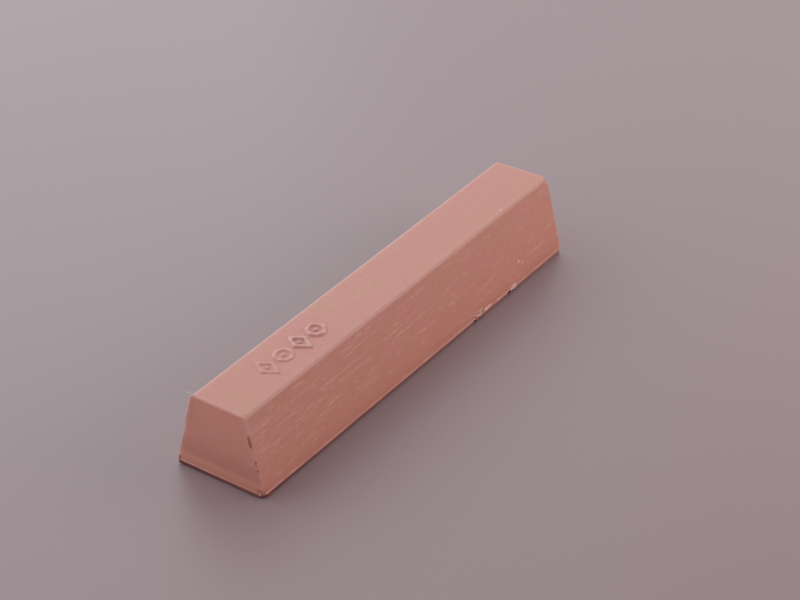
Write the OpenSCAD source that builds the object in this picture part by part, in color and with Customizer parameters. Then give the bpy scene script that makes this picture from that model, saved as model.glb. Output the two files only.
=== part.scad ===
/* [Bar] */
// Length of the bar across its foot
length = 80; // [60:1:120]
// Width of the bar across its foot
base_w = 15.5; // [14:0.5:22]
// Width of the top face, measured to its sharp corners
top_w = 10; // [8:0.5:13]
// Height from the underside to the top face
height = 13; // [9:0.5:18]

/* [Foot band] */
// Height of the upright band that the open mould's rim leaves round the foot
foot_h = 1.9; // [1.2:0.1:3]
// Radius of the soft bend where a long face rises out of the band
foot_bend_r = 7.5; // [1:0.5:10]
// How far the band stands out past each end face
foot_lip = 0.15; // [0.05:0.05:0.4]
// Radius of the hollow curve between an end face and the band
cove_r = 1.2; // [0.6:0.1:2]
// Draft of the end faces, in degrees
end_draft = 0.4; // [0:0.1:3]

/* [Edges] */
// Radius along the two long edges of the top face
long_edge_r = 0.7; // [0.3:0.1:1.5]
// Radius across the two short edges of the top face
short_edge_r = 0.45; // [0.2:0.05:1.5]
// Radius of the four upright corners of the foot band
corner_r = 0.3; // [0.1:0.05:0.8]
// Radius of the edge between the foot band and the underside
foot_edge_r = 0.2; // [0.1:0.05:0.5]

/* [Relief marks] */
// Number of marks in the row on the top face
mark_count = 4; // [1:1:6]
// Distance from the near end of the foot to the middle of the first mark
row_start = 11.6; // [6:0.2:16]
// Distance from one mark to the next
mark_pitch = 3.9; // [3.6:0.1:5.5]
// Size of a lozenge along the bar
lozenge_l = 3.4; // [2.8:0.1:3.6]
// Size of a lozenge across the bar
lozenge_w = 5.4; // [3.6:0.1:6]
// Outer diameter of a ring
ring_d = 3.5; // [2.8:0.1:3.6]
// Width of a mark's line where it leaves the top face
line_w = 0.75; // [0.5:0.05:0.8]
// Height of a mark above the top face
line_h = 0.3; // [0.15:0.05:0.5]
// How far each flank of a line leans in towards its crest
line_flank = 0.14; // [0.05:0.01:0.2]
// Diameter of the pip in the middle of a mark
pip_d = 0.9; // [0.5:0.1:1.1]

/* [Hidden] */
$fn = 48;
// Straight steps in each rounded edge
arc_steps = 8;
// How far a mark's root reaches down into the bar
mark_root = 0.4;
// How far a profile is carried past the solid that it shapes
overrun = 1;
// Lean of the long faces, from upright
side_draft = atan2((base_w - top_w) / 2, height - foot_h);
// How far the soft bend reaches from the corner that it rounds, at most down to the foot's edge
bend_reach = min(foot_bend_r * tan(side_draft / 2), foot_h - foot_edge_r);
// Half the angle that the hollow curve turns through, and the height that it climbs
cove_turn = acos(1 - foot_lip / cove_r);
cove_rise = cove_r * sin(cove_turn);
// Where an end face starts, above the hollow curve
face_x = length / 2 - foot_lip;
face_z = foot_h + cove_rise;
// Where an end face would meet the top face with no rounding
face_top_x = face_x - (height - face_z) * tan(end_draft);
wax = [0.66, 0.43, 0.38];

// Points of an arc about a centre, from one angle to another
function arc(centre, r, from, to) =
    [for (i = [0:arc_steps]) centre + r * [cos(from + (to - from) * i / arc_steps),
                                           sin(from + (to - from) * i / arc_steps)]];

// Rounding where a face with a draft meets the top face at a sharp corner
function top_rounding(corner_at, draft, r) =
    arc([corner_at - r * tan((90 - draft) / 2), height - r], r, draft, 90);

// Soft bend between the upright foot band and a leaning long face
function foot_bend() =
    let (r = bend_reach / tan(side_draft / 2))
    arc([base_w / 2 - r, foot_h - bend_reach], r, 0, side_draft);

// Rounding between the foot band and the underside, for a band that stands at reach
function foot_rounding(reach) =
    arc([reach - foot_edge_r, foot_edge_r], foot_edge_r, -90, 0);

// A closed outline from its right half and that half's mirror image
function both_halves(half) =
    concat(half, [for (i = [len(half) - 1:-1:0]) [-half[i].x, half[i].y]]);

// Seen from an end: an upright foot band that bends into two leaning faces
module end_outline() {
    polygon(both_halves(concat(
        foot_rounding(base_w / 2),
        foot_bend(),
        top_rounding(top_w / 2, side_draft, long_edge_r))));
}

// Seen from a side: the band stands out a little past nearly upright end faces
module side_outline() {
    polygon(both_halves(concat(
        foot_rounding(length / 2),
        arc([face_x + cove_r, face_z], cove_r, 180 + cove_turn, 180),
        top_rounding(face_top_x, end_draft, short_edge_r))));
}

// Seen from above: a rectangle with four rounded corners
module plan_outline() {
    quarter = arc([length / 2 - corner_r, base_w / 2 - corner_r], corner_r, 0, 90);
    right = concat([for (i = [arc_steps:-1:0]) [quarter[i].x, -quarter[i].y]], quarter);
    polygon(both_halves(right));
}

// The casting, as the space that the three outlines share
module casting() {
    intersection() {
        rotate([90, 0, 90])
            linear_extrude(length + 2 * overrun, center = true) end_outline();
        rotate([90, 0, 0])
            linear_extrude(base_w + 2 * overrun, center = true) side_outline();
        translate([0, 0, -overrun])
            linear_extrude(height + 2 * overrun) plan_outline();
    }
}

// A long strip whose flanks lean by line_flank over the height of a line: in for a
// ridge (lean 1) and out for the hollow inside it (lean -1)
module leaning_strip(half_w, lean) {
    slope = lean * line_flank / line_h;
    reach = lozenge_l + lozenge_w;
    top = lean > 0 ? line_h : line_h + overrun;
    rotate([90, 0, 0])
        linear_extrude(reach, center = true)
            polygon([[-half_w, -mark_root], [half_w, -mark_root], [half_w, 0],
                     [half_w - slope * top, top], [slope * top - half_w, top], [-half_w, 0]]);
}

// A lozenge, as the space that two crossed strips share
module leaning_lozenge(half_w, lean) {
    edge_turn = atan2(lozenge_l, lozenge_w);
    intersection() {
        rotate(edge_turn) leaning_strip(half_w, lean);
        rotate(-edge_turn) leaning_strip(half_w, lean);
    }
}

module lozenge_mark() {
    half_w = lozenge_l * lozenge_w / norm([lozenge_l, lozenge_w]) / 2;
    difference() {
        leaning_lozenge(half_w, 1);
        leaning_lozenge(half_w - line_w, -1);
    }
}

module ring_mark() {
    outer_r = ring_d / 2;
    inner_r = outer_r - line_w;
    rotate_extrude()
        polygon([[inner_r, -mark_root], [outer_r, -mark_root], [outer_r, 0],
                 [outer_r - line_flank, line_h], [inner_r + line_flank, line_h], [inner_r, 0]]);
}

module pip() {
    translate([0, 0, -mark_root]) cylinder(d = pip_d, h = mark_root);
    cylinder(d1 = pip_d, d2 = pip_d - 2 * line_flank, h = line_h);
}

// A row of plain raised marks near one end, a lozenge and a ring by turns
module relief_marks() {
    for (i = [0:mark_count - 1])
        translate([row_start + i * mark_pitch - length / 2, 0, height]) {
            if (i % 2 == 0)
                lozenge_mark();
            else
                ring_mark();
            pip();
        }
}

module wax_bar() {
    color(wax) {
        casting();
        relief_marks();
    }
}

wax_bar();
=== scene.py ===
"""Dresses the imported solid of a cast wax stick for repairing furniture.

The stick is one casting, so it is one piece here too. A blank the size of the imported
solid is cut into levels, drawn in to its drafted shape and rounded, then divided finely
enough to carry its raised marks, its drag lines and the soft unevenness of cast wax.
Chips are cut out of its edges, and a few crumbs of wax cling to it. Lengths are in
metres, and mm() turns the millimetres of the tables into them. The stick lies along X,
with its foot at Z = 0.
"""

import logging
import math
from collections.abc import Callable
from dataclasses import dataclass, field
from enum import Enum, IntEnum

import bmesh
import bpy
import numpy as np
from mathutils import Euler, Matrix, Vector, noise


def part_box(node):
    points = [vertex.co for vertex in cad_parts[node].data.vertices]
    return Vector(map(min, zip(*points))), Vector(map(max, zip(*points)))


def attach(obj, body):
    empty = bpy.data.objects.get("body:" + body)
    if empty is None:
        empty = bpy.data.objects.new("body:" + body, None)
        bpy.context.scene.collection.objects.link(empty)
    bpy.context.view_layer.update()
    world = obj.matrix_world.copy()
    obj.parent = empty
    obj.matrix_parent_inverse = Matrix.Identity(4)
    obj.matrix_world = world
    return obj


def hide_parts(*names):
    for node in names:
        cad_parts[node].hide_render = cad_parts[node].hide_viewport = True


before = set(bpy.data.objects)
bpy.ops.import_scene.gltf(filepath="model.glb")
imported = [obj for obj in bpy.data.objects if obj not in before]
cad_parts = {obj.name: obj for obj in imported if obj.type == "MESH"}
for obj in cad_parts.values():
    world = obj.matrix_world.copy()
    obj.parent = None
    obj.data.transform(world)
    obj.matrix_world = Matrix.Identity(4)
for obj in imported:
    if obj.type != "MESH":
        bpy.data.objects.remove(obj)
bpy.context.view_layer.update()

MM = 0.001
SAME_PLACE = 0.01 * MM
NODE = "wax_bar"
BODY = "root"
PHOTO_WIDTH = 800

Pair = tuple[float, float]
Triple = tuple[float, float, float]
Piece = bpy.types.Object
Socket = bpy.types.NodeSocket
Wanted = Callable[[Vector, Vector], bool]

log = logging.getLogger("wax_stick")


class Element(Enum):
    """What an edit-mode selection is made of."""

    VERTEX = "VERT"
    EDGE = "EDGE"
    FACE = "FACE"


class MarkShape(Enum):
    """The plain shapes that are raised in a row on the top face."""

    LOZENGE = "lozenge"
    RING = "ring"


class Break(Enum):
    """How wax came away: undercut, where its broken wax carries painted shade, or torn out of the
    bar, scraped pale or shaved off thin.
    """

    UNDERCUT = "undercut"
    TORN = "torn"
    SCRAPED = "scraped"
    SHAVED = "shaved"


class End(IntEnum):
    """The two ends of the bar, by their direction along X."""

    NEAR = -1
    FAR = 1


class Side(IntEnum):
    """The two long sides of the bar, by their direction along Y."""

    FRONT = -1
    BACK = 1


class Uneven(Enum):
    """The kinds of unevenness, each as noise.

    The first three numbers say how many millimetres long its swells are along each axis,
    and the last one moves its pattern, so that no two kinds share one.
    """

    MARKS = (1.3, 1.1, 1.0, 0.0)
    RUBBING = (2.2, 1.2, 0.8, 0.1)
    SEAM = (0.9, 0.9, 0.5, 0.2)
    SWELL = (9, 4, 4, 0.3)
    EDGES = (1.0, 1.0, 0.7, 0.4)
    RIPPLE = (1.6, 0.9, 0.7, 0.6)
    LINES = (0.8, 1.0, 0.4, 0.8)
    CRESTS = (0.9, 0.7, 1.0, 0.9)


def mm(*lengths: float) -> tuple[float, ...]:
    """Returns millimetres as metres."""
    return tuple(length * MM for length in lengths)


def bring_up(*pieces: Piece) -> None:
    """Selects pieces alone, and makes the first of them active."""
    bpy.ops.object.select_all(action="DESELECT")
    for piece in pieces:
        piece.select_set(True)
    bpy.context.view_layer.objects.active = pieces[0]


class Bench:
    """The edit-mode moves that shape a piece, with the piece alone on the bench."""

    def __init__(self, piece: Piece) -> None:
        """Takes the piece that is to be shaped."""
        self.piece = piece

    def __enter__(self) -> "Bench":
        """Opens the piece in edit mode and returns its bench."""
        bring_up(self.piece)
        bpy.ops.object.mode_set(mode="EDIT")
        return self

    def __exit__(self, *_: object) -> None:
        """Goes back to object mode."""
        bpy.ops.object.mode_set(mode="OBJECT")

    def pick(self, element: Element, wanted: Wanted) -> int:
        """Selects the elements that pass a test, and nothing else.

        Args:
            element: Whether vertices, edges or faces are looked at.
            wanted: Takes an element's middle and its extent along each axis.

        Returns:
            How many elements were selected.
        """
        bpy.ops.mesh.select_mode(type=element.value)
        bpy.ops.mesh.select_all(action="DESELECT")
        mesh = bmesh.from_edit_mesh(self.piece.data)
        items = {
            Element.VERTEX: mesh.verts,
            Element.EDGE: mesh.edges,
            Element.FACE: mesh.faces,
        }[element]
        found = 0
        for item in items:
            corners = [item.co] if element is Element.VERTEX else [v.co for v in item.verts]
            low = Vector(min(axis) for axis in zip(*corners))
            high = Vector(max(axis) for axis in zip(*corners))
            if wanted((low + high) / 2, high - low):
                item.select_set(True)
                found += 1
        mesh.select_flush_mode()
        bmesh.update_edit_mesh(self.piece.data)
        return found

    def cut_level(self, height: float) -> None:
        """Cuts the whole piece with a level plane, and leaves the cut as edges."""
        bpy.ops.mesh.select_all(action="SELECT")
        bpy.ops.mesh.bisect(plane_co=(0, 0, height), plane_no=(0, 0, 1))

    def draw_in(self, height: float, share_x: float, share_y: float) -> None:
        """Scales the ring of vertices at one height towards the middle line."""
        self.pick(Element.VERTEX, lambda at, _: abs(at.z - height) < SAME_PLACE)
        bpy.ops.transform.resize(value=(share_x, share_y, 1), center_override=(0, 0, height))

    def divide(self, wanted: Wanted, steps: int) -> None:
        """Divides the edges that pass a test into equal steps, 100 at most."""
        if self.pick(Element.EDGE, wanted):
            bpy.ops.mesh.subdivide(number_cuts=steps - 1)


def apply_modifier(piece: Piece, kind: str, **settings: object) -> None:
    """Adds a modifier to a piece, sets it up and applies it.

    Args:
        piece: The piece that is changed.
        kind: The modifier's type.
        **settings: The modifier's own values.
    """
    bring_up(piece)
    modifier = piece.modifiers.new(kind.lower(), kind)
    for name, value in settings.items():
        setattr(modifier, name, value)
    bpy.ops.object.modifier_apply(modifier=modifier.name)


def places(piece: Piece) -> np.ndarray:
    """Returns where a piece's vertices are, one row each."""
    flat = np.empty(len(piece.data.vertices) * 3)
    piece.data.vertices.foreach_get("co", flat)
    return flat.reshape(-1, 3)


def push(piece: Piece, heights: np.ndarray) -> None:
    """Pushes a piece's surface out, or in where a height is below zero.

    Args:
        piece: The piece that is changed.
        heights: How far each vertex goes along its own normal.
    """
    for sign in (1, -1):
        part = np.clip(sign * heights, 0, None)
        most = part.max()
        if most <= 0:
            continue
        group = piece.vertex_groups.new(name="push")
        for index in np.flatnonzero(part):
            group.add([int(index)], float(part[index] / most), "REPLACE")
        apply_modifier(
            piece, "DISPLACE", vertex_group=group.name, strength=sign * most, mid_level=0
        )
        piece.vertex_groups.clear()


def direction(azimuth: float, elevation: float) -> Vector:
    """Returns the direction to a viewer or a lamp; azimuth 0 is on the -Y side."""
    flat = math.cos(elevation)
    return Vector((math.sin(azimuth) * flat, -math.cos(azimuth) * flat, math.sin(elevation)))


def soft_step(value: np.ndarray, start: float, end: float) -> np.ndarray:
    """Returns 0 before start and 1 after end, with a smooth rise between them."""
    share = np.clip((value - start) / (end - start), 0, 1)
    return share * share * (3 - 2 * share)


def fade(value: np.ndarray, start: float, end: float) -> np.ndarray:
    """Returns 1 before start and 0 after end, with a smooth fall between them."""
    return 1 - soft_step(value, start, end)


def soft_noise(at: np.ndarray, kind: Uneven, seed: int) -> np.ndarray:
    """Works out smooth noise.

    Args:
        at: Places, one row each.
        kind: The kind of unevenness, which sets its swells.
        seed: Moves the pattern.

    Returns:
        A value for each place, from about -1 to 1.
    """
    *swells, apart = kind.value
    size = Vector(swells) * MM
    start = seed + apart
    shift = Vector((start, -start, 2 * start))
    return np.array(
        [noise.noise(Vector((x / size.x, y / size.y, z / size.z)) + shift) for x, y, z in at]
    )


@dataclass(frozen=True)
class Patches:
    """A strength that noise makes patchy: its middle, its sway and its limits."""

    kind: Uneven
    middle: float
    sway: float
    least: float
    most: float

    def strength(self, at: np.ndarray, seed: int) -> np.ndarray:
        """Returns the strength at each place."""
        noise_there = soft_noise(at, self.kind, seed)
        return np.clip(self.middle + self.sway * noise_there, self.least, self.most)


class Nodes:
    """A short way to add and link the nodes of one shader tree."""

    def __init__(self, tree: bpy.types.NodeTree) -> None:
        """Takes the tree that the nodes go into."""
        self.tree = tree

    def put(self, socket: Socket, value: object) -> None:
        """Links an output to an input socket, or else sets the input's value."""
        if isinstance(value, Socket):
            self.tree.links.new(value, socket)
        else:
            socket.default_value = value

    def add(self, kind: str, inputs: dict[str | int, object] | None = None,
            **settings: object) -> bpy.types.Node:
        """Adds a node.

        Args:
            kind: The node's type.
            inputs: Values or output sockets for its inputs, by name or number.
            **settings: The node's own options.

        Returns:
            The new node.
        """
        node = self.tree.nodes.new(kind)
        for name, value in settings.items():
            setattr(node, name, value)
        for key, value in (inputs or {}).items():
            self.put(node.inputs[key], value)
        return node

    def maths(self, operation: str, a: object, b: object) -> Socket:
        """Returns the result of a sum, a product or another operation on two values."""
        return self.add("ShaderNodeMath", {0: a, 1: b}, operation=operation).outputs[0]

    def spread(self, value: Socket, low: float, high: float, to_low: float = 0.0,
               to_high: float = 1.0) -> Socket:
        """Spreads a value smoothly from one range to another, and holds it there.

        Args:
            value: The value.
            low: Where its range starts.
            high: Where its range ends.
            to_low: What it is at the start and before it.
            to_high: What it is at the end and after it.

        Returns:
            The socket that puts it out.
        """
        ends = {"From Min": low, "From Max": high, "To Min": to_low, "To Max": to_high}
        node = self.add(
            "ShaderNodeMapRange", {"Value": value, **ends}, interpolation_type="SMOOTHSTEP"
        )
        return node.outputs["Result"]

    def blend(self, share: object, a: object, b: object) -> Socket:
        """Blends two colours.

        Args:
            share: How much of the second colour there is.
            a: The first colour, as a socket or as red, green and blue.
            b: The second colour, likewise.

        Returns:
            The socket that puts the blend out.
        """
        node = self.add("ShaderNodeMix", data_type="RGBA")
        for number, value in ((0, share), (6, a), (7, b)):
            self.put(node.inputs[number], (*value, 1) if isinstance(value, tuple) else value)
        return node.outputs[2]


@dataclass(frozen=True)
class WaxBody:
    """The cloudiness, the streaks and the grain that run through all the wax.

    A pattern is its scale in repeats per metre, its detail and the range of the noise
    that is spread from 0 to 1.
    """

    name: str = "wax_body"
    cloud: tuple[float, ...] = (210.0, 2, 0.3, 0.7)
    flecks: tuple[float, ...] = (1300.0, 3, 0.35, 0.7)
    grain: tuple[float, ...] = (5200.0, 2, 0.3, 0.7)
    streaks: tuple[float, ...] = (460.0, 3, 0.54, 0.7)
    streak_gaps: tuple[float, ...] = (360.0, 2, 0.44, 0.58)
    streak_stretch: Triple = (0.6, 1.0, 4.8)
    noise_roughness: float = 0.55

    def group(self) -> bpy.types.NodeTree:
        """Returns the group, and builds it at the first call.

        Returns:
            A tree that puts out Cloud, Flecks, Streaks and Grain, each from 0 to 1.
        """
        known = bpy.data.node_groups.get(self.name)
        if known:
            return known
        tree = bpy.data.node_groups.new(self.name, "ShaderNodeTree")
        for name in ("Cloud", "Flecks", "Streaks", "Grain"):
            tree.interface.new_socket(name, in_out="OUTPUT", socket_type="NodeSocketFloat")
        nodes = Nodes(tree)
        place = nodes.add("ShaderNodeTexCoord").outputs["Object"]
        stretched = nodes.add(
            "ShaderNodeMapping", {"Vector": place, "Scale": self.streak_stretch}
        ).outputs["Vector"]

        def pattern(vector: Socket, scale: float, detail: float, low: float,
                    high: float) -> Socket:
            """Returns a noise pattern, with its range spread from 0 to 1."""
            inputs = {"Vector": vector, "Scale": scale, "Detail": detail}
            inputs["Roughness"] = self.noise_roughness
            return nodes.spread(nodes.add("ShaderNodeTexNoise", inputs).outputs["Fac"], low, high)

        runs = pattern(stretched, *self.streaks)
        gaps = pattern(place, *self.streak_gaps)
        nodes.add("NodeGroupOutput", {
            "Cloud": pattern(place, *self.cloud),
            "Flecks": pattern(place, *self.flecks),
            "Streaks": nodes.maths("MULTIPLY", runs, gaps),
            "Grain": pattern(place, *self.grain),
        })
        return tree


class Surface(Nodes):
    """The nodes of one new material of wax, which all start from the same wax body."""

    def __init__(self, name: str) -> None:
        """Makes the material, and puts the wax body into it."""
        self.material = bpy.data.materials.new(name)
        self.material.use_nodes = True
        super().__init__(self.material.node_tree)
        self.body = self.add("ShaderNodeGroup", node_tree=WaxBody().group()).outputs

    def bump(self, height: Socket) -> Socket:
        """Returns the normals of a surface that is raised by a height in metres."""
        node = self.add("ShaderNodeBump", {"Height": height, "Distance": 1.0, "Strength": 1.0})
        return node.outputs["Normal"]

    def dress(self, values: dict[str, object]) -> bpy.types.Material:
        """Gives the shader its inputs, and returns the material."""
        for name, value in values.items():
            self.put(self.tree.nodes["Principled BSDF"].inputs[name], value)
        return self.material


@dataclass(frozen=True)
class CastWax:
    """The skin of the casting: softly shining, cloudy, paler where it is worn and where
    highlights are painted on its edges.

    It has painted shade, darker and redder towards the foot, and painted light, paler up the
    ends.
    """

    name: str = "wax_skin"
    brown: Triple = (0.57, 0.262, 0.19)
    pink: Triple = (0.59, 0.255, 0.212)
    # Painted shade: the darker, redder colour towards the foot. Painted light: the next colour,
    # paler up the ends
    low_shade: Triple = (0.556, 0.232, 0.162)
    painted_end_light: Triple = (0.674, 0.291, 0.217)
    scored: Triple = (0.8, 0.5, 0.43)
    # The pale of worn edges, also used for painted highlights along the edges and on the marks'
    # crests, and for the flecks
    rubbed_and_highlit: Triple = (0.76, 0.53, 0.52)
    # Painted shade: the dark band along the foot where the bar meets the floor, and in the fold
    # above the ends' band
    deep: Triple = (0.16, 0.041, 0.039)
    fleck_share: float = 0.06
    streak_share: float = 0.28
    line_share: float = 0.76
    pale_edge_share: float = 0.9
    roughness: float = 0.4
    rubbed_roughness: float = 0.56
    rubbed_fully: float = 0.6
    cloud_roughness: float = 0.05
    shine: float = 0.6
    depth_weight: float = 0.2
    depth: float = 0.6 * MM
    depth_tint: Triple = (1.0, 0.4, 0.25)
    grain_height: float = 0.006 * MM
    streak_height: float = 0.018 * MM

    def material(self) -> bpy.types.Material:
        """Builds the finish, which reads the masks on the bar's mesh, and returns it."""
        skin = Surface(self.name)
        lines, edges, sides, contact_shade, low, high = (
            skin.add("ShaderNodeAttribute", attribute_name=name).outputs["Fac"]
            for name in (
                "drag_lines", "edge_wear_and_highlight", "long_sides", "painted_contact_shade", "low_shade", "end_light"
            )
        )
        clouds = skin.blend(skin.body["Cloud"], self.brown, self.pink)
        # Painted shade towards the foot, then painted light up the ends
        clouds = skin.blend(low, clouds, self.low_shade)
        clouds = skin.blend(high, clouds, self.painted_end_light)
        flecks = skin.maths("MULTIPLY", skin.body["Flecks"], self.fleck_share)
        dappled = skin.blend(flecks, clouds, self.rubbed_and_highlit)
        streaks = skin.maths("MULTIPLY", skin.body["Streaks"], sides)
        scores = skin.maths(
            "MAXIMUM",
            skin.maths("MULTIPLY", streaks, self.streak_share),
            skin.maths("MULTIPLY", lines, self.line_share),
        )
        scored = skin.blend(scores, dappled, self.scored)
        # Edges painted pale, partly as wear and partly as painted highlight
        worn = skin.blend(skin.maths("MULTIPLY", edges, self.pale_edge_share), scored, self.rubbed_and_highlit)
        roughness = skin.spread(
            skin.maths("MAXIMUM", scores, edges),
            0, self.rubbed_fully, self.roughness, self.rubbed_roughness,
        )
        uneven = skin.maths("MULTIPLY", skin.body["Cloud"], self.cloud_roughness)
        grain = skin.maths("MULTIPLY", skin.body["Grain"], self.grain_height)
        ridges = skin.maths("MULTIPLY", streaks, self.streak_height)
        return skin.dress({
            # Painted shade along the foot and in the ends' fold darkens the colour here
            "Base Color": skin.blend(contact_shade, worn, self.deep),
            "Roughness": skin.maths("ADD", roughness, uneven),
            "Normal": skin.bump(skin.maths("ADD", grain, ridges)),
            "Specular IOR Level": self.shine,
            "Subsurface Weight": self.depth_weight,
            "Subsurface Scale": self.depth,
            "Subsurface Radius": self.depth_tint,
        })


@dataclass(frozen=True)
class BrokenWax:
    """Wax that was broken open, where an edge is chipped: dull, with its own two tones."""

    name: str
    deep: Triple
    light: Triple
    roughness: float = 0.62
    grain_height: float = 0.02 * MM

    def material(self) -> bpy.types.Material:
        """Builds the finish and returns it."""
        wax = Surface(self.name)
        return wax.dress({
            "Base Color": wax.blend(wax.body["Flecks"], self.deep, self.light),
            "Roughness": self.roughness,
            "Normal": wax.bump(wax.maths("MULTIPLY", wax.body["Grain"], self.grain_height)),
        })


BROKEN_WAX = {
    # Painted shade: the undercut notches are coloured dark as the shade in their hollows
    Break.UNDERCUT: BrokenWax("shaded_undercut_wax", (0.19, 0.07, 0.06), (0.27, 0.11, 0.09)),
    Break.TORN: BrokenWax("torn_wax", (0.42, 0.155, 0.115), (0.55, 0.24, 0.18)),
    Break.SCRAPED: BrokenWax("scraped_wax", (0.66, 0.4, 0.33), (0.8, 0.58, 0.51)),
    Break.SHAVED: BrokenWax("shaved_wax", (0.52, 0.47, 0.46), (0.72, 0.65, 0.62)),
}


@dataclass(frozen=True)
class RaisedMark:
    """One plain mark of raised lines on the top face."""

    shape: MarkShape
    middle_x: float
    crispness: float
    length: float = 3.4 * MM
    width: float = 5.4 * MM
    ring_diameter: float = 3.5 * MM
    line_width: float = 0.75 * MM
    pip_diameter: float = 0.9 * MM
    flank: float = 0.2 * MM

    def cover(self, at: np.ndarray) -> np.ndarray:
        """Works out how much of a line's full height stands at each place.

        Args:
            at: Places on the square bar, one row each.

        Returns:
            One share for each place.
        """
        x = at[:, 0] - self.middle_x
        y = at[:, 1]
        if self.shape is MarkShape.LOZENGE:
            half_w = self.length * self.width / math.hypot(self.length, self.width) / 2
            turn = math.atan2(self.length, self.width)
            across = np.abs(x) * math.cos(turn) + np.abs(y) * math.sin(turn)
            from_line = np.abs(across - half_w + self.line_width / 2)
        else:
            ring_middle = (self.ring_diameter - self.line_width) / 2
            from_line = np.abs(np.hypot(x, y) - ring_middle)
        reach = self.line_width / 2
        pip_radius = self.pip_diameter / 2
        line = fade(from_line, reach - self.flank, reach)
        pip = fade(np.hypot(x, y), pip_radius - self.flank, pip_radius)
        return self.crispness * np.maximum(line, pip)


@dataclass(frozen=True)
class DragLine:
    """A fine line on a long side, left as the bar slid out of its mould.

    Places are measured along the bar from its middle and up from its foot. The line
    wavers a little, by radians for each millimetre along it and up to it.
    """

    start: float
    height: float
    length: float
    rise: float
    strength: float
    waver: float = 0.07 * MM
    waver_along: float = 1.9
    waver_up: float = 40
    full_from: float = 0.12
    full_to: float = 0.75
    full_width: float = 0.2

    def cover(self, x: np.ndarray, z: np.ndarray, width: float) -> np.ndarray:
        """Works out how strongly the line marks each place, from 0 to its strength.

        Args:
            x: Places along the bar.
            z: Heights above the foot.
            width: Half the width of the line.

        Returns:
            One share for each place.
        """
        along = (x - self.start) / self.length
        phase = self.waver_along * x / MM + self.waver_up * self.height / MM
        middle = self.height + self.rise * along + self.waver * np.sin(phase)
        ends = soft_step(along, 0, self.full_from) * fade(along, self.full_to, 1)
        across = fade(np.abs(z - middle), self.full_width * width, width)
        return self.strength * ends * across


@dataclass(frozen=True)
class CornerStray:
    """How far one corner of the hand-poured bar stands off square, at foot and crown.

    The waist is how far it bows off the straight line between them, at mid height.
    """

    end: End
    side: Side
    foot: Triple
    crown: Triple
    waist: Triple = (0.0, 0.0, 0.0)

    def at_share(self, share: float) -> Vector:
        """Returns the shift at a share of the way up from the foot to the crown."""
        bow = Vector(self.waist) * (4 * share * (1 - share))
        return Vector(self.foot).lerp(Vector(self.crown), share) + bow


@dataclass(frozen=True)
class EdgeScar:
    """A scar along one of the four slanted edges, over a stretch of its height."""

    end: End
    side: Side
    middle: float
    length: float

    def along(self, at: np.ndarray, full: float) -> np.ndarray:
        """Returns a share for each place on the square bar, full near the scar's middle."""
        here = (self.end * at[:, 0] > 0) & (self.side * at[:, 1] > 0)
        from_middle = np.abs(at[:, 2] - self.middle)
        return fade(from_middle, full * self.length, self.length / 2) * here


@dataclass(frozen=True)
class Burr(EdgeScar):
    """A thin ridge along a slanted edge, or a blunt stretch where it stands below zero."""

    stands_out: float
    reach: float = 0.4 * MM
    # How pale it is painted, partly as wear and partly as painted highlight
    rubbed_and_highlit: float = 0.0
    full_along: float = 0.2
    full_across: float = 0.15

    def cover(self, at: np.ndarray, from_edge: np.ndarray) -> np.ndarray:
        """Returns how much of the burr is at each place, from 0 to 1."""
        across = fade(from_edge, self.full_across * self.reach, self.reach)
        return self.along(at, self.full_along) * across


@dataclass(frozen=True)
class Furrow(EdgeScar):
    """A narrow furrow on an end face, beside the burr on one of its slanted edges."""

    depth: float
    inward: float = 0.4 * MM
    half_width: float = 0.17 * MM
    full_along: float = 0.35
    end_face: float = 0.1 * MM

    def cover(self, at: np.ndarray, from_side: np.ndarray, from_end: np.ndarray) -> np.ndarray:
        """Works out how much of the furrow is at each place.

        Args:
            at: Places on the square bar, one row each.
            from_side: How far each place lies in from the nearer long side.
            from_end: How far each place lies in from the nearer end face.

        Returns:
            One share for each place.
        """
        across = fade(np.abs(from_side - self.inward), 0.0, self.half_width)
        return self.along(at, self.full_along) * across * (from_end < self.end_face)


@dataclass(frozen=True)
class PaleEdge:
    """How strongly an edge is painted pale, partly as wear and partly as painted highlight, and
    how far beside it.
    """

    strength: float
    full_to: float
    gone_by: float

    def cover(self, distance: np.ndarray, patches: np.ndarray | float = 1.0) -> np.ndarray:
        """Returns how far places are painted pale, from their distances to the edge."""
        return self.strength * patches * fade(distance, self.full_to, self.gone_by)


@dataclass(frozen=True)
class Lump:
    """A small lump of wax, which is missing at an edge as a chip or clings as a crumb.

    Its size is given along the bar, across it and upwards, before its turn.
    """

    middle: Triple
    size: Triple
    turn: Triple
    seed: int
    kind: Break
    roughness: float = 0.22

    def model(self) -> Piece:
        """Models the lump as a closed, faceted form at its place, and returns it."""
        bpy.ops.object.select_all(action="DESELECT")
        bpy.ops.mesh.primitive_ico_sphere_add(subdivisions=2, radius=1)
        lump = bpy.context.object
        with Bench(lump) as bench:
            bench.pick(Element.VERTEX, lambda at, _: True)
            bpy.ops.transform.vertex_random(offset=self.roughness, seed=self.seed)
        lump.data.transform(
            Matrix.Translation(self.middle)
            @ Euler(self.turn).to_matrix().to_4x4()
            @ Matrix.Diagonal((*(side / 2 for side in self.size), 1))
        )
        return lump


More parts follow.
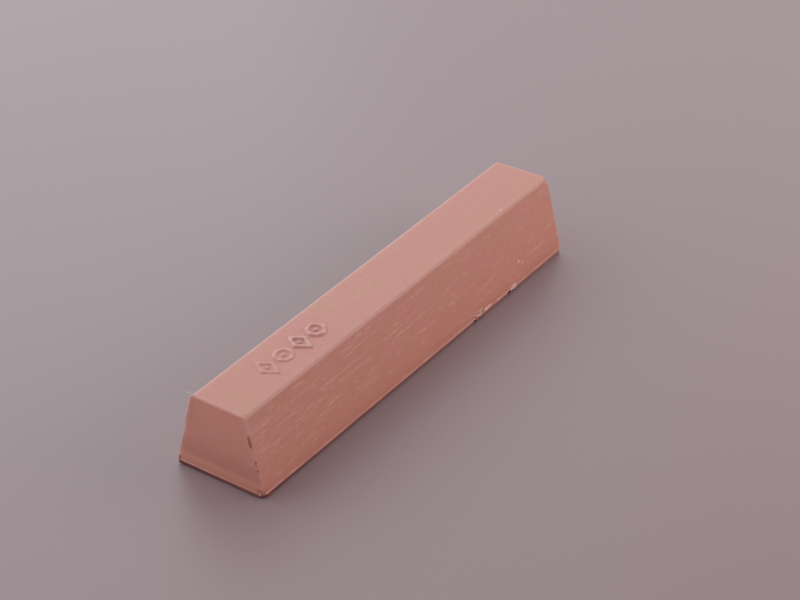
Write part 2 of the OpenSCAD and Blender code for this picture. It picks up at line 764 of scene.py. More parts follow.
@dataclass
class BarForm:
    """The square bar's sizes, and where its places are on the hand-poured bar."""

    low: Vector
    high: Vector
    line_height: float = 0.3 * MM
    top_width: float = 10.0 * MM
    foot_height: float = 1.9 * MM
    foot_blend: float = 0.9 * MM
    foot_lip: float = 0.15 * MM
    lip_rise: Pair = (1.5 * MM, 2.6 * MM)
    end_draft: float = math.radians(0.4)

    @property
    def half_length(self) -> float:
        """Half the length of the foot."""
        return (self.high.x - self.low.x) / 2

    @property
    def half_width(self) -> float:
        """Half the width of the foot."""
        return (self.high.y - self.low.y) / 2

    @property
    def top(self) -> float:
        """Height of the top face, below the crests of its marks."""
        return self.high.z - self.line_height

    @property
    def side_draft(self) -> float:
        """Lean of the long sides from upright."""
        return math.atan2(self.half_width - self.top_width / 2, self.top - self.foot_height)

    @property
    def bend(self) -> Pair:
        """Heights where the bend between the foot band and a long side starts and ends."""
        return self.foot_height - self.foot_blend, self.foot_height + self.foot_blend

    def side_y(self, height: float) -> float:
        """Returns how far a long side stands from the middle at a height."""
        from_bend = height - self.foot_height
        if abs(from_bend) < self.foot_blend:
            climbed = (from_bend + self.foot_blend) ** 2 / (4 * self.foot_blend)
        else:
            climbed = max(from_bend, 0)
        return self.half_width - climbed * math.tan(self.side_draft)

    def end_x(self, height: float) -> float:
        """Returns how far an end face stands from the middle at a height."""
        lip = self.foot_lip * float(soft_step(height, *self.lip_rise))
        lean = max(height - self.foot_height, 0) * math.tan(self.end_draft)
        return self.half_length - lip - lean

    def from_sides(self, at: np.ndarray) -> np.ndarray:
        """Returns how far each place on the square bar lies in from the nearer long side."""
        return np.array([self.side_y(height) for height in at[:, 2]]) - np.abs(at[:, 1])

    def from_ends(self, at: np.ndarray) -> np.ndarray:
        """Returns how far each place on the square bar lies in from the nearer end face."""
        return np.array([self.end_x(height) for height in at[:, 2]]) - np.abs(at[:, 0])

    def corner_strays(self) -> list[CornerStray]:
        """Returns how far the bar's four corners stand off square."""
        near, far, front, back = *End, *Side
        return [
            CornerStray(near, front, mm(-0.38, -0.3, 0.0), mm(0.04, 0.36, 0.0),
                        mm(-0.1, 0.08, 0.0)),
            CornerStray(near, back, mm(-0.65, -0.3, 0.0), mm(-0.11, -0.05, 0.0)),
            CornerStray(far, front, mm(-0.55, -0.62, 0.0), mm(0.25, 0.08, 0.2)),
            CornerStray(far, back, mm(0.05, -0.1, 0.0), mm(0.12, -0.1, -0.2)),
        ]

    def stray(self, at: np.ndarray) -> np.ndarray:
        """Works out how far places on the bar stand off square.

        Args:
            at: Places on the square bar, one row each.

        Returns:
            The shift of each place, one row each.
        """
        along = np.clip(at[:, 0] / self.half_length, -1, 1)
        across = np.clip(at[:, 1] / [self.side_y(height) for height in at[:, 2]], -1, 1)
        up = np.clip(at[:, 2:] / self.top, 0, 1)
        shift = np.zeros_like(at)
        for corner in self.corner_strays():
            share = (1 + corner.end * along) * (1 + corner.side * across) / 4
            shift += share[:, None] * (
                np.array(corner.foot) * (1 - up)
                + np.array(corner.crown) * up
                + np.array(corner.waist) * 4 * up * (1 - up)
            )
        return shift

    def on_bar(self, x: float, y: float, z: float) -> Triple:
        """Returns a place on the square bar, moved to where it is on this one."""
        at = np.array([[x, y, z]])
        return tuple((at + self.stray(at))[0])

    def on_top(self, x: float, y: float, above: float = 0.0) -> Triple:
        """Returns a place on or above the top face, from millimetres."""
        return self.on_bar(x * MM, y * MM, self.top + above * MM)

    def on_slope(self, x: float, height: float, side: Side) -> Triple:
        """Returns a place on a long side, from millimetres along the bar and up it."""
        return self.on_bar(x * MM, side * self.side_y(height * MM), height * MM)

    def on_corner(self, end: End, side: Side, height: float, inward: float = 0.0) -> Triple:
        """Finds the place on a slanted edge, or beside it on the end face.

        Args:
            end: Which end.
            side: Which side.
            height: Height above the foot, in millimetres.
            inward: How far from the edge, across the end face, in millimetres.

        Returns:
            The place.
        """
        y = side * (self.side_y(height * MM) - inward * MM)
        return self.on_bar(end * self.end_x(height * MM), y, height * MM)


@dataclass
class WaxBar(BarForm):
    """The whole casting: foot band, leaning sides, raised marks, the wear on it and its painted
    light and shade.

    A pair named rise or fade says where the change starts and ends. The pairs of the
    faint lines are the limits that chance keeps to, in millimetres where they are lengths.
    """

    foot_levels: int = 10
    underside_rim: float = 1.1 * MM
    underside_lift: float = 0.06 * MM
    long_edge_radius: float = 0.42 * MM
    short_edge_radius: float = 0.28 * MM
    corner_radius: float = 0.22 * MM
    foot_edge_radius: float = 0.22 * MM
    edge_steps: int = 5
    end_rim: float = 0.6 * MM
    end_rim_columns: int = 6
    coarse_columns: int = 20
    column: float = 0.4 * MM
    side_rows: int = 92
    foot_rows: int = 8
    top_rows: int = 24
    mark_grid: float = 0.1 * MM
    mark_reach: float = 3.2 * MM
    row_start: float = 11.6 * MM
    mark_pitch: float = 3.9 * MM
    mark_crispness: tuple[float, ...] = (0.55, 0.6, 0.9, 1.0)
    mark_relief: float = 0.36 * MM
    mark_patches: Patches = Patches(Uneven.MARKS, 0.8, 0.55, 0.12, 1.1)
    # Painted highlight on the marks' crests, in patches
    crest_patches: Patches = Patches(Uneven.CRESTS, 0.5, 1.0, 0.1, 0.9)
    crest_start: float = 0.05 * MM
    top_margin: float = 0.02 * MM
    side_margin: float = 0.2 * MM
    drag_width: float = 0.12 * MM
    drag_height: float = 0.03 * MM
    drag_reach: float = 1.2 * MM
    drag_above: float = 2.2 * MM
    drag_patches: Patches = Patches(Uneven.LINES, 0.7, 1.4, 0.05, 1)
    faint_count: int = 120
    faint_crowding: float = 2.2
    faint_height: Pair = (4.9, 11.4)
    faint_length: Pair = (1.3, 6.0)
    faint_rise: Pair = (-0.15, 0.35)
    faint_strength: Pair = (0.2, 0.6)
    faint_loss: float = 0.5
    swell: float = 0.035 * MM
    ripple: float = 0.012 * MM
    top_roughness: float = 0.15
    end_roughness: float = 0.8
    side_blend: float = 0.6 * MM
    end_blend: float = 0.7 * MM
    floor_blend: float = 0.6 * MM
    edge_stray: float = 0.05 * MM
    stray_fade: Pair = (0.1 * MM, 0.5 * MM)
    chip_roughness: float = 0.16
    # Edges painted pale, partly as wear and partly as painted highlight where they catch light;
    # the rim is a painted highlight along the foot
    pale_edge_patches: Patches = Patches(Uneven.RUBBING, 0.75, 0.7, 0, 1.3)
    front_pale_edge: PaleEdge = PaleEdge(0.25, 0.2 * MM, 0.65 * MM)
    back_pale_edge: PaleEdge = PaleEdge(0.7, 0.22 * MM, 0.44 * MM)
    short_pale_edge: PaleEdge = PaleEdge(0.25, 0.15 * MM, 0.45 * MM)
    slanted_pale_edge: PaleEdge = PaleEdge(0.22, 0.1 * MM, 0.3 * MM)
    rim_height: float = 0.86 * MM
    rim_on_end: float = 0.5
    rim_on_side: float = 0.7
    rim_fade: Pair = (0.05 * MM, 0.2 * MM)
    # Painted shade: a dark band along the foot where the bar meets the floor, and a faint one in
    # the fold above the ends' band
    shade_height: float = 0.7 * MM
    shade_ragged: float = 0.06 * MM
    shade_soft: float = 0.15 * MM
    shade_fade: Pair = (0.3 * MM, 0.8 * MM)
    shade_end_rise: float = 0.1 * MM
    shade_end_loss: float = 0.15
    shade_side: float = 0.95
    shade_side_loss: float = 0.5
    shade_least: float = 0.1
    fold_rise: Pair = (2.3 * MM, 3.1 * MM)
    fold_fade: Pair = (3.1 * MM, 6.6 * MM)
    fold_strength: float = 0.08
    fold_gain: float = 0.05
    end_face_fade: Pair = (0.1 * MM, 0.4 * MM)
    # Painted shade, darker and redder towards the foot, and painted light, paler up the ends
    low_shade_most: float = 0.75
    low_shade_to: float = 10 * MM
    end_light_most: float = 0.7
    end_light_rise: Pair = (2 * MM, 12 * MM)
    smooth_angle: float = math.radians(40)
    seed: int = 7
    piece: Piece = field(init=False)
    broken: dict[Break, bpy.types.Material] = field(init=False)

    def square_places(self) -> np.ndarray:
        """Returns where the piece's vertices would be on a square bar."""
        at = places(self.piece)
        return at - self.stray(at)

    def blank(self) -> None:
        """Makes the blank and draws it in, level by level, to the drafted shape."""
        bpy.ops.object.select_all(action="DESELECT")
        bpy.ops.mesh.primitive_cube_add(size=1, location=(0, 0, 0))
        self.piece = bpy.context.object
        self.piece.name = "wax_bar_casting"
        full = Vector((2 * self.half_length, 2 * self.half_width, self.top))
        bend_low, bend_high = self.bend
        levels = [
            bend_low + (bend_high - bend_low) * step / self.foot_levels
            for step in range(self.foot_levels + 1)
        ]
        with Bench(self.piece) as bench:
            bpy.ops.mesh.select_all(action="SELECT")
            bpy.ops.transform.resize(value=full)
            bpy.ops.transform.translate(value=(0, 0, self.top / 2))
            for height in levels:
                bench.cut_level(height)
            for height in [*levels, self.top]:
                bench.draw_in(
                    height,
                    self.end_x(height) / self.half_length,
                    self.side_y(height) / self.half_width,
                )
            for corner in self.corner_strays():
                for height in [0.0, *levels, self.top]:
                    bench.pick(
                        Element.VERTEX,
                        lambda at, _: abs(at.z - height) < SAME_PLACE
                        and corner.end * at.x > 0
                        and corner.side * at.y > 0,
                    )
                    bpy.ops.transform.translate(value=corner.at_share(height / self.top))
            self.lift_underside(bench)

    def lift_underside(self, bench: Bench) -> None:
        """Lifts the rim of the underside, which drew in as the wax set in its mould."""
        bench.pick(Element.FACE, lambda at, size: max(at.z, size.z) < SAME_PLACE)
        bpy.ops.mesh.inset(thickness=self.underside_rim, depth=0)
        rim_x = self.half_length - self.underside_rim / 2
        rim_y = self.half_width - self.underside_rim / 2
        bench.pick(
            Element.VERTEX,
            lambda at, _: at.z < SAME_PLACE and (abs(at.x) > rim_x or abs(at.y) > rim_y),
        )
        bpy.ops.transform.translate(value=(0, 0, self.underside_lift))

    def edge_setback(self, a: Vector, b: Vector) -> float:
        """Works out how far from an edge of the blank its rounding starts.

        Args:
            a: One end of the edge.
            b: Its other end.

        Returns:
            The setback on each face, or 0 where the edge stays sharp.
        """
        span = b - a
        if min(a.z, b.z) > self.top - MM:
            if abs(span.x) > abs(span.y):
                return self.long_edge_radius * math.tan((math.pi / 2 - self.side_draft) / 2)
            return self.short_edge_radius
        if max(abs(end.z - self.underside_lift) for end in (a, b)) < SAME_PLACE:
            return self.foot_edge_radius
        if abs(span.x) < MM and abs(span.z) > abs(span.y):
            return self.corner_radius
        return 0.0

    def round_edges(self) -> None:
        """Rounds every edge of the blank by its own radius, in one bevel."""
        mesh = self.piece.data
        corners = [v.co for v in mesh.vertices]
        setbacks = [self.edge_setback(*(corners[v] for v in e.vertices)) for e in mesh.edges]
        most = max(setbacks)
        weights = mesh.attributes.new("bevel_weight_edge", "FLOAT", "EDGE")
        weights.data.foreach_set("value", [setback / most for setback in setbacks])
        apply_modifier(
            self.piece, "BEVEL",
            limit_method="WEIGHT", width=most, segments=self.edge_steps, use_clamp_overlap=True,
        )

    def divide(self) -> None:
        """Divides the faces into columns and rows, finest where the marks stand."""
        bend_low, bend_high = self.bend
        thin = 0.5 * MM
        flat = 0.1 * MM
        row_end = self.row_start + len(self.mark_crispness) * self.mark_pitch
        low_x = -self.half_length + self.row_start - self.mark_pitch
        high_x = -self.half_length + row_end
        coarse = 2 * self.half_length / self.coarse_columns
        with Bench(self.piece) as bench:
            bench.pick(
                Element.FACE,
                lambda _, size: size.x < thin and size.z > self.top / 2
                and size.y > self.top_width / 2,
            )
            bpy.ops.mesh.inset(thickness=self.end_rim, depth=0)
            bench.divide(
                lambda at, size: abs(at.x) > self.half_length - MM
                and at.z > bend_high - flat
                and 0.5 * self.end_rim < size.y < 1.5 * self.end_rim
                and size.z < 1.5 * self.end_rim,
                self.end_rim_columns,
            )
            bench.divide(lambda _, size: size.x > 2 * coarse, self.coarse_columns)
            bench.divide(lambda _, size: size.x > coarse / 2, round(coarse / self.column))
            bench.divide(lambda _, size: size.z > self.top / 2, self.side_rows)
            bench.divide(
                lambda at, size: at.z < bend_low and size.z > bend_low / 3, self.foot_rows
            )
            bench.divide(lambda _, size: size.y > self.top_width / 2, self.top_rows)
            bench.pick(
                Element.FACE,
                lambda at, size: low_x < at.x < high_x
                and abs(at.y) < self.mark_reach
                and at.z > self.top - flat
                and size.z < flat,
            )
            bpy.ops.mesh.subdivide(number_cuts=round(self.column / self.mark_grid) - 1)

    def marks(self) -> list[RaisedMark]:
        """Returns the row of marks, lozenge and ring by turns."""
        return [
            RaisedMark(
                shape=MarkShape.RING if index % 2 else MarkShape.LOZENGE,
                middle_x=-self.half_length + self.row_start + index * self.mark_pitch,
                crispness=crispness,
            )
            for index, crispness in enumerate(self.mark_crispness)
        ]

    def raise_marks(self) -> None:
        """Raises the row of marks on the top face, with their crests worn unevenly."""
        at = self.square_places()
        on_top = at[:, 2] > self.top - self.top_margin
        cover = np.zeros(len(at))
        for mark in self.marks():
            cover = np.maximum(cover, mark.cover(at))
        raised = np.flatnonzero(cover * on_top > 0)
        worn = np.zeros(len(at))
        worn[raised] = self.mark_patches.strength(at[raised], self.seed)
        push(self.piece, self.mark_relief * cover * worn * on_top)

    def clear_lines(self) -> list[DragLine]:
        """Returns the drag lines that stand out on the front long side."""
        # Start, height, length and rise in millimetres, then the strength
        table = (
            (-39.6, 10.2, 4.8, 0.1, 1.0), (-39.8, 8.4, 2.8, -0.2, 0.9),
            (-39.3, 7.1, 3.2, 0.0, 0.6), (-36.5, 8.5, 11.0, 0.2, 0.5),
            (-30.5, 10.3, 6.0, 0.0, 0.45), (-30.3, 7.3, 2.2, -0.1, 0.7),
            (-26.4, 7.6, 1.8, -0.8, 0.8), (-24.0, 8.8, 12.0, 0.2, 0.9),
            (-22.5, 7.9, 10.5, -0.2, 0.6), (-23.2, 5.9, 4.2, 0.1, 1.0),
            (-17.8, 10.3, 8.6, 0.7, 1.0), (-16.6, 6.4, 1.6, -0.7, 0.9),
            (-13.2, 5.8, 4.4, 0.0, 0.7), (-8.2, 8.5, 7.4, 0.2, 0.9),
            (-6.2, 7.6, 11.2, 0.2, 0.9), (-3.7, 11.2, 8.4, 0.2, 0.8),
            (-5.2, 5.6, 1.8, 0.0, 0.7), (-2.2, 10.1, 2.0, 0.0, 0.6),
            (8.8, 6.3, 4.4, -0.4, 0.7), (13.8, 6.2, 2.4, 0.0, 0.6),
        )
        return [DragLine(*mm(*lengths), strength) for *lengths, strength in table]

    def faint_lines(self, seed: int) -> list[DragLine]:
        """Returns faint drag lines in places taken by chance, thinning out towards +X."""
        chance = np.random.default_rng(seed)
        lines = []
        for _ in range(self.faint_count):
            share = chance.random() ** self.faint_crowding
            lines.append(DragLine(
                start=(share * 2 - 1) * self.half_length,
                height=chance.uniform(*self.faint_height) * MM,
                length=chance.uniform(*self.faint_length) * MM,
                rise=chance.uniform(*self.faint_rise) * MM,
                strength=chance.uniform(*self.faint_strength) * (1 - self.faint_loss * share),
            ))
        return lines

    def scuffs(self, at: np.ndarray) -> np.ndarray:
        """Works out how strongly drag lines mark the two long sides.

        Args:
            at: Places on the square bar, one row each.

        Returns:
            One share for each place.
        """
        cover = np.zeros(len(at))
        for side, lines in (
            (Side.FRONT, self.clear_lines() + self.faint_lines(self.seed)),
            (Side.BACK, self.faint_lines(self.seed + 1)),
        ):
            on_side = side * at[:, 1] > self.top_width / 2 - self.side_margin
            here = on_side & (at[:, 2] > self.drag_above)
            for line in lines:
                near = np.flatnonzero(
                    here
                    & (at[:, 0] > line.start)
                    & (at[:, 0] < line.start + line.length)
                    & (np.abs(at[:, 2] - line.height) < self.drag_reach)
                )
                share = line.cover(at[near, 0], at[near, 2], self.drag_width)
                share = share * self.drag_patches.strength(at[near], self.seed)
                cover[near] = np.maximum(cover[near], share)
        return cover

    def burrs(self) -> list[Burr]:
        """Returns the burrs and the blunt stretches along the slanted edges."""
        near, far, front, back = *End, *Side
        return [
            # Each burr's pale is partly wear and partly painted highlight where its edge catches
            # light
            Burr(near, back, *mm(11.0, 8.0, 0.26), rubbed_and_highlit=0.85),
            Burr(near, back, *mm(6.2, 5.0, 0.03), rubbed_and_highlit=0.7),
            Burr(near, back, *mm(2.6, 3.4, 0.02), rubbed_and_highlit=0.6),
            Burr(near, front, *mm(11.4, 3.8, 0.02, 0.5), rubbed_and_highlit=0.32),
            Burr(near, front, *mm(12.9, 1.2, -0.04, 0.5), rubbed_and_highlit=0.5),
            Burr(near, front, *mm(7.0, 3.0, 0.07), rubbed_and_highlit=0.15),
            Burr(near, front, *mm(2.8, 2.4, 0.04), rubbed_and_highlit=0.1),
            Burr(near, front, *mm(0.3, 2.8, -0.4, 1.1), rubbed_and_highlit=0.1),
            Burr(far, front, *mm(6.0, 9.0, 0.06), rubbed_and_highlit=0.3),
            Burr(far, front, *mm(13.4, 3.4, -0.4, 1.1), rubbed_and_highlit=0.6),
            Burr(far, back, *mm(8.5, 3.0, 0.07), rubbed_and_highlit=0.5),
        ]

    def furrows(self) -> list[Furrow]:
        """Returns the furrows beside the burrs on the end faces."""
        return [
            Furrow(End.NEAR, Side.BACK, *mm(10.2, 5.4, 0.1)),
            Furrow(End.NEAR, Side.BACK, *mm(5.4, 5.0, 0.08, 0.38)),
            Furrow(End.NEAR, Side.FRONT, *mm(6.3, 2.2, 0.07, 0.32)),
            Furrow(End.FAR, Side.BACK, *mm(8.5, 4.0, 0.08)),
        ]

    def on_sides(self, at: np.ndarray, blend: float) -> np.ndarray:
        """Returns how far each place is on a long side and not on the top face."""
        return soft_step(np.abs(at[:, 1]), self.top_width / 2 - blend, self.top_width / 2)

    def weather(self) -> None:
        """Gives the faces the soft unevenness of cast wax, and the sides their lines."""
        at = self.square_places()
        wide = soft_noise(at, Uneven.SWELL, self.seed)
        fine = soft_noise(at, Uneven.RIPPLE, self.seed)
        on_end = soft_step(np.abs(at[:, 0]), self.half_length - self.end_blend, self.half_length)
        off_top = np.maximum(self.on_sides(at, self.side_blend), self.end_roughness * on_end)
        rough = self.top_roughness + (1 - self.top_roughness) * off_top
        off_floor = soft_step(at[:, 2], 0.0, self.floor_blend)
        heights = (self.swell * wide + self.ripple * fine) * rough * off_floor
        heights += self.drag_height * self.scuffs(at)
        from_side = self.from_sides(at)
        from_end = self.from_ends(at)
        from_edge = np.hypot(from_side, from_end)
        ragged = soft_noise(at, Uneven.EDGES, self.seed)
        heights += self.edge_stray * ragged * fade(from_edge, *self.stray_fade)
        for burr in self.burrs():
            heights += burr.stands_out * burr.cover(at, from_edge)
        for furrow in self.furrows():
            heights -= furrow.depth * furrow.cover(at, from_side, from_end)
        push(self.piece, heights)

    def chips(self) -> list[Lump]:
        """Returns the chips out of the bar's edges, torn where no kind is given."""
        near, far, front, back = *End, *Side
        corner, slope, lean = self.on_corner, self.on_slope, self.side_draft
        # Place, size in millimetres, turn, seed and kind
        table = (
            (corner(near, front, 9.2, 0.22), (0.7, 0.5, 2.3), (-1.3 * lean, 0.0, 0.0), 1),
            (corner(near, front, 6.0), (0.6, 0.45, 0.5), (-lean, 0.0, 0.3), 2),
            (corner(near, front, 4.7), (0.55, 0.45, 0.6), (-lean, 0.2, 0.0), 3),
            (corner(near, back, 7.4), (0.3, 0.3, 0.6), (lean, 0.0, 0.2), 4),
            (corner(near, back, 1.2, 0.34), (0.3, 0.28, 0.9), (0.0, 0.0, 0.2), 6),
            (corner(near, front, 1.5, 0.5), (0.3, 0.7, 0.6), (0.4, 0.0, 0.0), 16),
            (slope(15.9, 1.05, front), (3.0, 0.6, 1.5), (0.0, -0.15, 0.0), 7, Break.SCRAPED),
            (slope(18.3, 1.05, front), (2.8, 0.4, 0.8), (0.0, -0.1, 0.0), 17, Break.SCRAPED),
            (slope(14.9, 0.25, front), (1.7, 2.6, 1.3), (0.0, -0.2, 0.0), 8, Break.UNDERCUT),
            (slope(16.2, 0.05, front), (2.6, 2.0, 0.9), (0.0, 0.1, 0.0), 9, Break.UNDERCUT),
            (slope(26.2, 0.95, front), (2.5, 0.5, 1.2), (0.0, -0.2, 0.0), 10, Break.SCRAPED),
            (slope(24.6, 0.25, front), (1.3, 2.6, 1.1), (0.0, -0.2, 0.1), 11, Break.UNDERCUT),
            (slope(25.7, 0.05, front), (2.2, 1.8, 0.8), (0.0, 0.1, 0.0), 18, Break.UNDERCUT),
            (corner(far, back, 10.4), (0.5, 0.5, 1.2), (lean, 0.0, 0.3), 12),
            (corner(far, back, 4.4), (0.45, 0.4, 0.8), (lean, 0.1, 0.0), 13),
            (slope(-17.0, 0.2, back), (1.5, 0.7, 0.5), (-0.2, 0.0, 0.1), 14),
            (slope(29.5, 0.3, back), (1.0, 0.5, 0.5), (0.0, 0.2, 0.0), 15),
        )
        return [
            Lump(place, mm(*size), turn, seed, *(kind or [Break.TORN]), self.chip_roughness)
            for place, size, turn, seed, *kind in table
        ]

    def crumbs(self) -> list[Lump]:
        """Returns the crumbs that cling to the bar, scraped where no kind is given."""
        flat = (0.0, 0.0, 0.4)
        upright = (-self.side_draft, 0.0, 0.0)
        # Place along the bar and up it, then length and height, in millimetres
        specks = (
            (28.0, 4.1, 1.0, 0.35), (29.0, 3.6, 0.5, 0.25), (27.0, 5.0, 0.3, 0.2),
            (-31.0, 9.6, 0.5, 0.25), (-32.8, 5.2, 0.5, 0.25), (-26.8, 5.6, 0.4, 0.2),
            (-39.1, 0.9, 0.5, 0.3), (16.2, 1.1, 0.6, 0.3), (17.6, 1.2, 0.5, 0.25),
            (19.6, 1.0, 0.45, 0.25), (21.2, 1.0, 0.5, 0.25), (27.6, 1.0, 0.5, 0.3),
            (14.6, 1.3, 0.5, 0.3),
        )
        first_seed = 31
        # Place, size in millimetres, turn, seed, kind and roughness
        table = [
            (self.on_top(26.7, -4.4), (1.1, 0.7, 0.3), flat, 21),
            (self.on_top(25.2, -4.6), (0.3, 0.2, 0.2), flat, 22),
            (self.on_top(18.3, -3.1), (0.3, 0.2, 0.2), flat, 23),
            (self.on_top(30.0, -3.1), (0.3, 0.2, 0.2), flat, 24),
            (self.on_top(-39.8, 5.65, 0.14), (0.22, 1.5, 0.24), (-0.12, 0.0, 0.1), 25,
             Break.SHAVED, 0.1),
            # Painted highlight: this pale crumb stands where light glints on the near back corner
            # of the top
            (self.on_top(-39.6, 4.85), (0.4, 0.5, 0.2), flat, 27, Break.SHAVED),
            *(
                (self.on_slope(x, height, Side.FRONT), (length, 0.06, tall), upright,
                 first_seed + index)
                for index, (x, height, length, tall) in enumerate(specks)
            ),
            (self.on_corner(End.NEAR, Side.FRONT, 5.7, 0.6), (0.2, 0.4, 0.3), upright, 26),
            (self.on_corner(End.NEAR, Side.FRONT, 0.8, 0.6), (0.2, 0.3, 0.25), upright, 28),
        ]
        return [
            Lump(place, mm(*size), turn, seed, *(rest or [Break.SCRAPED]))
            for place, size, turn, seed, *rest in table
        ]

    def join_lumps(self, lumps: list[Lump], *onto: Piece) -> Piece:
        """Models lumps, and joins them to one another.

        Args:
            lumps: The lumps.
            *onto: The piece that they are joined onto, if any.

        Returns:
            The joined object.
        """
        parts = [lump.model() for lump in lumps]
        for lump, part in zip(lumps, parts):
            part.data.materials.append(self.broken[lump.kind])
        bring_up(*onto, *parts)
        bpy.ops.object.join()
        return bpy.context.object

    def break_edges(self) -> None:
        """Cuts the chips out of the bar, leaves broken wax there and adds the crumbs."""
        cutter = self.join_lumps(self.chips())
        apply_modifier(
            self.piece, "BOOLEAN",
            operation="DIFFERENCE", object=cutter, solver="MANIFOLD", material_mode="TRANSFER",
        )
        bpy.data.objects.remove(cutter)
        self.join_lumps(self.crumbs(), self.piece)

    def edge_wear_and_highlight(self, at: np.ndarray) -> np.ndarray:
        """Works out how pale the bar is painted along its edges, partly as wear and partly as
        painted highlight.

        Args:
            at: Places on the square bar, one row each.

        Returns:
            One share for each place.
        """
        y, z = at[:, 1], at[:, 2]
        from_side = self.from_sides(at)
        from_end = self.from_ends(at)
        from_top = self.top - z
        long_top = np.hypot(from_top, self.top_width / 2 - np.abs(y))
        slanted = np.hypot(from_side, from_end)
        foot = np.hypot(np.minimum(from_side, from_end), z - self.rim_height)
        uneven = self.pale_edge_patches.strength(at, self.seed)
        # The top and slanted edges are painted pale, partly as wear and partly as painted
        # highlight; the back top edge most, as painted reflection
        wear = self.front_pale_edge.cover(long_top) * (y < 0)
        wear += self.back_pale_edge.cover(long_top) * (y > 0)
        wear = np.maximum(wear, self.short_pale_edge.cover(np.hypot(from_top, from_end)))
        wear = np.maximum(wear, self.slanted_pale_edge.cover(slanted, uneven))
        for burr in self.burrs():
            wear = np.maximum(wear, burr.rubbed_and_highlit * burr.cover(at, slanted))
        # Painted highlight: a pale rim along the foot, just above its painted shade
        rim = np.where(from_end < from_side, self.rim_on_end, self.rim_on_side) * uneven
        return np.clip(np.maximum(wear, rim * fade(foot, *self.rim_fade)), 0, 1)

    def painted_contact_shade(self, at: np.ndarray) -> np.ndarray:
        """Works out how dark the painted shade is: a band along the foot for the shadow where the
        bar meets the floor, and a faint one in the fold above the ends' band.

        Args:
            at: Places on the square bar, one row each.

        Returns:
            One share for each place.
        """
        z = at[:, 2]
        from_side = self.from_sides(at)
        from_end = self.from_ends(at)
        on_end = from_end < from_side
        ragged = self.shade_ragged * soft_noise(at, Uneven.SEAM, self.seed)
        top = self.shade_height + ragged + np.where(on_end, self.shade_end_rise, 0.0)
        along = at[:, 0] / self.half_length / 2 + 0.5
        across = 0.5 - at[:, 1] / self.half_width / 2
        at_end = 1 - self.shade_end_loss * across
        strength = np.where(on_end, at_end, self.shade_side - self.shade_side_loss * along)
        # Painted shade: the band along the foot stands for the shadow where the bar meets the
        # floor
        contact_shade = fade(z, top - self.shade_soft, top)
        contact_shade = contact_shade * fade(np.minimum(from_side, from_end), *self.shade_fade)
        # Painted shade in the fold above the band on each end
        fold = soft_step(z, *self.fold_rise) * fade(z, *self.fold_fade)
        fold_strength = self.fold_strength + self.fold_gain * across
        contact_shade = contact_shade * np.clip(strength, self.shade_least, 1)
        return np.maximum(contact_shade, fold_strength * fold * on_end)

    def crest_highlight(self, at: np.ndarray) -> np.ndarray:
        """Works out the painted highlight on the crests of the marks.

        Args:
            at: Places on the square bar, one row each.

        Returns:
            One share for each place.
        """
        wear = np.zeros(len(at))
        on_top = np.flatnonzero(at[:, 2] > self.top + self.crest_start)
        for mark in self.marks():
            wear[on_top] = np.maximum(wear[on_top], mark.cover(at[on_top]))
        wear[on_top] *= self.crest_patches.strength(at[on_top], self.seed)
        return wear

    def note_masks(self) -> None:
        """Notes on the mesh where its wear and painted highlights, its lines, its painted shade
        and its painted light are.
        """
        at = self.square_places()
        z = at[:, 2]
        on_end = fade(self.from_ends(at), *self.end_face_fade)
        masks = {
            "drag_lines": self.scuffs(at),
            "edge_wear_and_highlight": np.maximum(self.edge_wear_and_highlight(at), self.crest_highlight(at)),
            # Painted shade along the foot and in the ends' fold
            "painted_contact_shade": self.painted_contact_shade(at),
            # Painted shade towards the foot, and painted light up the ends
            "low_shade": self.low_shade_most * fade(z, 0.0, self.low_shade_to),
            "end_light": self.end_light_most * on_end * soft_step(z, *self.end_light_rise),
            "long_sides": self.on_sides(at, self.side_margin),
        }
        for name, values in masks.items():
            mask = self.piece.data.attributes.new(name, "FLOAT", "POINT")
            mask.data.foreach_set("value", values)

    def build(self) -> Piece:
        """Models and dresses the bar, puts it on its body in place of the imported solid, and
        returns it.
        """
        self.blank()
        self.round_edges()
        self.divide()
        self.raise_marks()
        self.weather()
        self.piece.data.materials.append(CastWax().material())
        self.broken = {kind: finish.material() for kind, finish in BROKEN_WAX.items()}
        self.break_edges()
        self.note_masks()
        bring_up(self.piece)
        bpy.ops.object.shade_smooth_by_angle(angle=self.smooth_angle)
        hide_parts(NODE)
        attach(self.piece, BODY)
        return self.piece


@dataclass(frozen=True)
class PhotoCamera:
    """The camera at the photograph's viewing angle."""

    target: Triple = (12.57 * MM, 5.24 * MM, 0.0)
    azimuth: float = math.radians(-55.2)
    elevation: float = math.radians(34.5)
    roll: float = math.radians(0.42)
    distance: float = 371 * MM
    focal_pixels: float = 2300.0
    sensor_width: float = 36.0
    clip_start: float = 10 * MM

    def place(self) -> None:
        """Makes the camera, aims it and makes it the scene's own."""
        back = direction(self.azimuth, self.elevation)
        data = bpy.data.cameras.new("photo_camera")
        data.sensor_width = self.sensor_width
        data.lens = self.focal_pixels * self.sensor_width / PHOTO_WIDTH
        data.clip_start = self.clip_start
        camera = bpy.data.objects.new("photo_camera", data)
        bpy.context.scene.collection.objects.link(camera)
        camera.location = Vector(self.target) + back * self.distance
        aim = (-back).to_track_quat("-Z", "Y")
        camera.rotation_euler = (aim.to_matrix() @ Matrix.Rotation(self.roll, 3, "Z")).to_euler()
        bpy.context.scene.camera = camera


class Daylight(Enum):
    """The tints of light that fall on the bar, as red, green and blue shares."""

    DAY = (0.97, 0.98, 1.0)
    WALL = (1.0, 0.88, 0.82)
    WARM = (1.0, 0.65, 0.7)


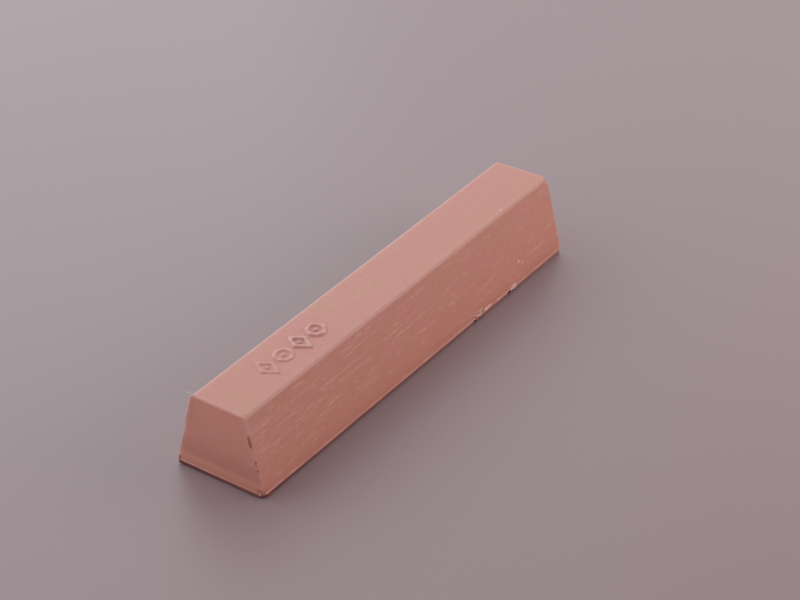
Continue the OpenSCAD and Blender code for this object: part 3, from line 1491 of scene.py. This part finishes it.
@dataclass(frozen=True)
class SoftLamp:
    """A round soft lamp that hangs beside the bar and points at it."""

    name: str
    azimuth: float
    elevation: float
    power: float
    tint: Daylight = Daylight.DAY
    diameter: float = 0.3
    distance: float = 0.42

    def place(self) -> None:
        """Makes the lamp and aims it at the bar's middle."""
        data = bpy.data.lights.new(self.name, "AREA")
        data.shape = "DISK"
        data.size = self.diameter
        data.energy = self.power
        data.color = self.tint.value
        lamp = bpy.data.objects.new(self.name, data)
        lamp.visible_camera = False
        bpy.context.scene.collection.objects.link(lamp)
        away = direction(self.azimuth, self.elevation)
        lamp.location = away * self.distance
        lamp.rotation_euler = (-away).to_track_quat("-Z", "Y").to_euler()


@dataclass(frozen=True)
class Studio:
    """The pale floor, the even light of the room and a ring of soft lamps.

    Windows and fills are given by azimuth in degrees and power.
    """

    floor_colour: Triple = (0.335, 0.264, 0.281)
    floor_roughness: float = 0.38
    floor_size: float = 6.0
    room_strength: float = 0.205
    ring_elevation: float = math.radians(22)
    ring_start: float = math.radians(-175)
    ring_lamps: tuple[tuple[float, Daylight], ...] = (
        (0.308, Daylight.DAY), (0.25, Daylight.DAY), (0.185, Daylight.DAY),
        (0.12, Daylight.WARM), (0.085, Daylight.WARM), (0.1, Daylight.WARM),
        (0.12, Daylight.WALL), (0.145, Daylight.WALL),
        (0.2, Daylight.DAY), (0.318, Daylight.DAY),
    )
    high_windows: tuple[Pair, ...] = ((-160, 0.226), (136, 0.287))
    window_elevation: float = math.radians(50)
    window_diameter: float = 0.34
    window_distance: float = 0.45
    side_window: SoftLamp = SoftLamp("side_window", math.radians(-130), math.radians(38), 0.08)
    far_fills: tuple[Pair, ...] = ((25, 0.145), (55, 0.08))
    fill_elevation: float = math.radians(23)
    fill_diameter: float = 0.2
    fill_distance: float = 0.26

    def lamps(self) -> list[SoftLamp]:
        """Returns the low ring of lamps, the windows and the fill by the far end."""
        step = 2 * math.pi / len(self.ring_lamps)
        ring = [
            SoftLamp(f"ring_{index}", self.ring_start + index * step, self.ring_elevation, *lamp)
            for index, lamp in enumerate(self.ring_lamps)
        ]
        windows = [
            SoftLamp("high_window", math.radians(azimuth), self.window_elevation, power,
                     diameter=self.window_diameter, distance=self.window_distance)
            for azimuth, power in self.high_windows
        ]
        fills = [
            SoftLamp("far_fill", math.radians(azimuth), self.fill_elevation, power,
                     Daylight.WALL, self.fill_diameter, self.fill_distance)
            for azimuth, power in self.far_fills
        ]
        return [*ring, *windows, self.side_window, *fills]

    def floor(self) -> None:
        """Lays the floor under the bar."""
        bpy.ops.object.select_all(action="DESELECT")
        bpy.ops.mesh.primitive_plane_add(size=self.floor_size, location=(0, 0, 0))
        floor = bpy.context.object
        floor.name = "studio_floor"
        material = bpy.data.materials.new("studio_floor")
        material.use_nodes = True
        shader = material.node_tree.nodes["Principled BSDF"]
        shader.inputs["Base Color"].default_value = (*self.floor_colour, 1)
        shader.inputs["Roughness"].default_value = self.floor_roughness
        floor.data.materials.append(material)

    def room(self) -> None:
        """Fills the room with even light."""
        world = bpy.data.worlds.new("studio_room")
        world.use_nodes = True
        background = world.node_tree.nodes["Background"]
        background.inputs["Color"].default_value = (1, 1, 1, 1)
        background.inputs["Strength"].default_value = self.room_strength
        bpy.context.scene.world = world
        bpy.context.scene.view_settings.view_transform = "Standard"

    def build(self) -> None:
        """Lays the floor and lights the room."""
        self.floor()
        self.room()
        for lamp in self.lamps():
            lamp.place()


def main() -> None:
    """Builds the stick and the studio round it, and reports each piece."""
    logging.basicConfig(level=logging.INFO, format="%(name)s: %(message)s")
    low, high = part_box(NODE)
    PhotoCamera().place()
    Studio().build()
    casting = WaxBar(low=low, high=high).build()
    log.info("%s has %d faces", casting.name, len(casting.data.polygons))


if __name__ == "__main__":
    main()
